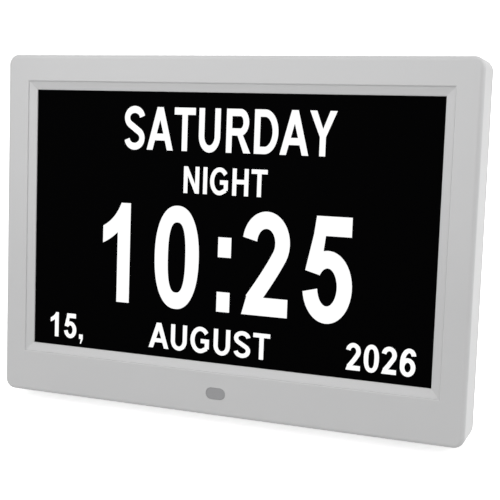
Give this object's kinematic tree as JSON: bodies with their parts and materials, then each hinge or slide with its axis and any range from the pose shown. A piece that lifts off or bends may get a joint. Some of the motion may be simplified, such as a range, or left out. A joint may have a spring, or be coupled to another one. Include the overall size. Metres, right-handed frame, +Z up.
{
  "type": "digital clock",
  "caption": "Framed digital day clock with a wide lit screen, infrared window, rear keys, keyholes and a fold-out leg that leans it back.",
  "frame": {"origin": "middle of the bounding box's base, on the table the clock stands on with its leg open", "axes": "+Z up, the screen faces -Y (leaning back), +X to the right of someone looking at the screen"},
  "size_m": [0.251, 0.0672, 0.1813],
  "materials": {
    "bezel_plastic": "pale grey moulded plastic with a fine satin grain",
    "cover_plastic": "pale grey moulded plastic, fine spark texture",
    "window_tint": "grey infrared-clear plastic",
    "lcd_glass": "near-black polariser with an anti-glare surface",
    "foam_black": "black foam",
    "guide_acrylic": "clear acrylic with white films",
    "tray_steel": "plated sheet steel",
    "screw_steel": "zinc-plated steel",
    "board_green": "green solder mask",
    "socket_ivory": "ivory nylon",
    "ribbon_film": "white flat cable",
    "chip_black": "black epoxy",
    "can_aluminium": "aluminium can",
    "jack_black": "black moulded plastic",
    "pin_nickel": "nickel-plated brass",
    "cell_steel": "stainless steel can",
    "holder_black": "black nylon",
    "switch_black": "black switch housing",
    "plunger_grey": "dark grey plunger",
    "key_plastic": "mid grey moulded plastic",
    "frame_black": "black painted steel",
    "magnet_ferrite": "ferrite",
    "cone_paper": "treated paper",
    "wire_jacket": "wire insulation",
    "leg_plastic": "pale grey moulded plastic",
    "pad_rubber": "dark grey rubber"
  },
  "bodies": {
    "case": {"front_bezel": "bezel_plastic", "rear_cover": "cover_plastic", "ir_window": "window_tint", "case_screws": "screw_steel", "rest_pads": "pad_rubber", "panel_gasket": "foam_black", "lcd_cell": "lcd_glass", "light_guide": "guide_acrylic", "panel_tray": "tray_steel", "panel_brackets": "tray_steel", "bracket_screws": "screw_steel", "driver_board": "board_green", "driver_socket": "socket_ivory", "ribbon_socket": "socket_ivory", "panel_ribbon": "ribbon_film", "main_board": "board_green", "board_screws": "screw_steel", "board_chips": "chip_black", "board_capacitors": "can_aluminium", "wire_sockets": "socket_ivory", "dc_jack": "jack_black", "dc_pin": "pin_nickel", "cell_holder": "holder_black", "coin_cell": "cell_steel", "key_switches": "switch_black", "speaker_frame": "frame_black", "speaker_magnet": "magnet_ferrite", "speaker_cone": "cone_paper", "speaker_gasket": "foam_black", "speaker_screws": "screw_steel", "speaker_cable": "wire_jacket", "ir_board": "board_green", "ir_receiver": "chip_black", "ir_screws": "screw_steel", "ir_cable": "wire_jacket", "hinge_pin": "screw_steel"},
    "stand": {"stand_leg": "leg_plastic", "stand_pad": "pad_rubber"},
    "key_power": {"button_power": "key_plastic", "plunger_power": "plunger_grey"},
    "key_menu": {"button_menu": "key_plastic", "plunger_menu": "plunger_grey"},
    "key_up": {"button_up": "key_plastic", "plunger_up": "plunger_grey"},
    "key_down": {"button_down": "key_plastic", "plunger_down": "plunger_grey"},
    "key_left": {"button_left": "key_plastic", "plunger_left": "plunger_grey"},
    "key_right": {"button_right": "key_plastic", "plunger_right": "plunger_grey"}
  },
  "joints": [
    {"name": "stand_hinge", "type": "hinge", "parent": "case", "child": "stand", "pos_m": [0, 0.01593, 0.11529], "axis": [1, 0, 0], "range_deg": [-20, 0]},
    {"name": "press_power", "type": "slide", "parent": "case", "child": "key_power", "axis": [0, -0.9703, 0.2419], "range_m": [0, 0.0004], "stiffness_N_per_m": 500, "springref_m": -0.0004},
    {"name": "press_menu", "type": "slide", "parent": "case", "child": "key_menu", "axis": [0, -0.9703, 0.2419], "range_m": [0, 0.0004], "stiffness_N_per_m": 500, "springref_m": -0.0004},
    {"name": "press_up", "type": "slide", "parent": "case", "child": "key_up", "axis": [0, -0.9703, 0.2419], "range_m": [0, 0.0004], "stiffness_N_per_m": 500, "springref_m": -0.0004},
    {"name": "press_down", "type": "slide", "parent": "case", "child": "key_down", "axis": [0, -0.9703, 0.2419], "range_m": [0, 0.0004], "stiffness_N_per_m": 500, "springref_m": -0.0004},
    {"name": "press_left", "type": "slide", "parent": "case", "child": "key_left", "axis": [0, -0.9703, 0.2419], "range_m": [0, 0.0004], "stiffness_N_per_m": 500, "springref_m": -0.0004},
    {"name": "press_right", "type": "slide", "parent": "case", "child": "key_right", "axis": [0, -0.9703, 0.2419], "range_m": [0, 0.0004], "stiffness_N_per_m": 500, "springref_m": -0.0004}
  ]
}
